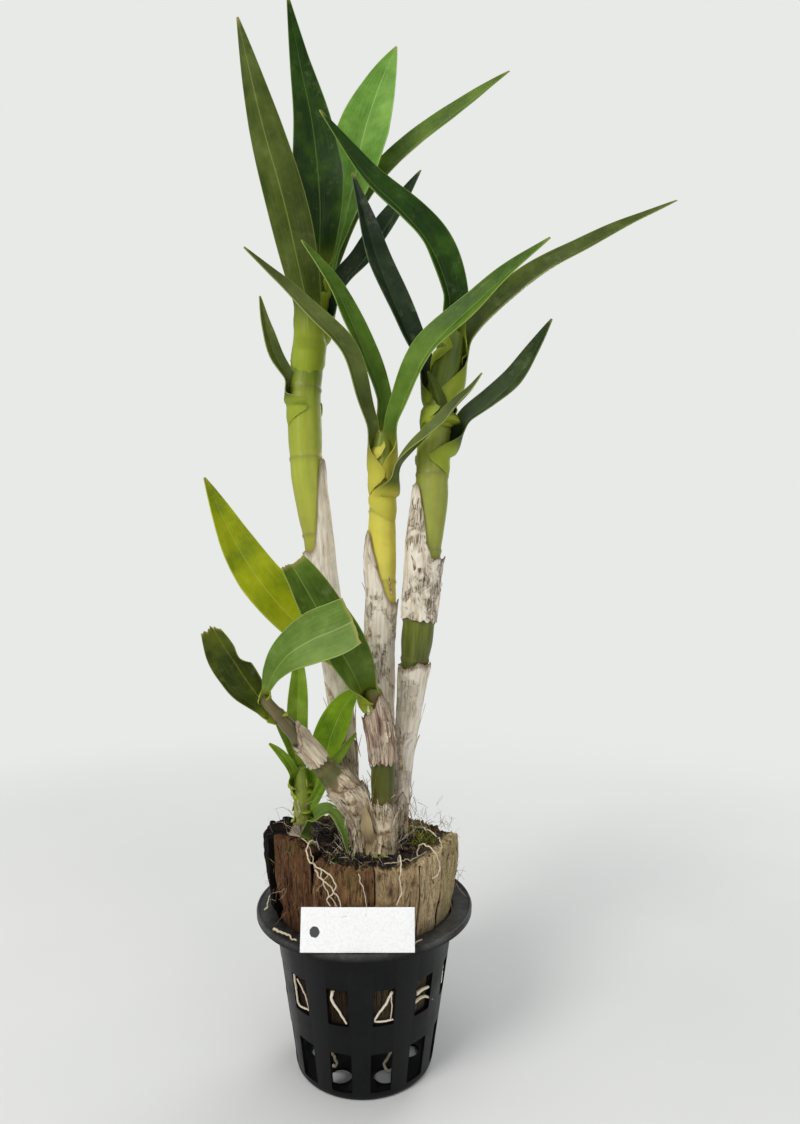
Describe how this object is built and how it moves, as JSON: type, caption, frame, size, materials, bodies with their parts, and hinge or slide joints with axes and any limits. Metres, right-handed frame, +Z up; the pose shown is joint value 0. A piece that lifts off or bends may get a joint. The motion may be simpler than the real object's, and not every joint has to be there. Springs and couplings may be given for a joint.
{
  "type": "potted dendrobium orchid",
  "caption": "Dendrobium orchid with upright canes, papery sheaths and long arching leaves, growing in coconut husk in a slotted net pot with a blank card.",
  "frame": {"origin": "centre of the flat base of the net pot, where it stands", "axes": "+Z up along the pot's axis; -Y is the front seen in the picture; +X to the right"},
  "size_m": [0.236, 0.1121, 0.5232],
  "materials": {
    "pot_plastic": "satin black moulded plastic",
    "husk": "rough fibrous coconut husk",
    "charred_husk": "rough blackened coconut husk",
    "medium": "dark damp fibre and chips",
    "root": "dry pale root skin",
    "green_cane": "smooth waxy green stem",
    "papery_sheath": "dry papery sheath with dark fibres",
    "leaf": "waxy leathery green leaf",
    "card": "smooth white card"
  },
  "bodies": {
    "root": {"net_pot": "pot_plastic", "potting_medium": "medium", "husk_front_left": "husk", "husk_front": "husk", "husk_front_right": "husk", "husk_right": "husk", "husk_side_right": "husk", "husk_back_right": "husk", "husk_back_left": "husk", "husk_charred": "charred_husk", "cane_left": "green_cane", "cane_middle": "green_cane", "cane_right": "green_cane", "cane_leaning": "green_cane", "cane_short": "green_cane", "shoot": "green_cane", "sheath_left": "papery_sheath", "sheath_middle": "papery_sheath", "sheath_right_upper": "papery_sheath", "sheath_right_lower": "papery_sheath", "sheath_leaning": "papery_sheath", "sheath_short": "papery_sheath", "left_leaf_1": "leaf", "left_leaf_2": "leaf", "left_leaf_3": "leaf", "left_leaf_4": "leaf", "left_leaf_5": "leaf", "left_leaf_6": "leaf", "middle_leaf_1": "leaf", "middle_leaf_2": "leaf", "middle_leaf_3": "leaf", "middle_leaf_4": "leaf", "right_leaf_1": "leaf", "right_leaf_2": "leaf", "right_leaf_3": "leaf", "right_leaf_4": "leaf", "right_leaf_5": "leaf", "short_leaf_1": "leaf", "short_leaf_2": "leaf", "leaning_leaf_1": "leaf", "leaning_leaf_2": "leaf", "shoot_leaf_1": "leaf", "shoot_leaf_2": "leaf", "shoot_leaf_3": "leaf", "shoot_leaf_4": "leaf", "shoot_leaf_5": "leaf", "shoot_leaf_6": "leaf", "base_bract": "leaf", "root_over_left": "root", "root_over_centre": "root", "root_over_right": "root", "root_below_1": "root", "root_below_2": "root", "root_below_3": "root", "root_below_4": "root", "label_card": "card"}
  },
  "joints": []
}
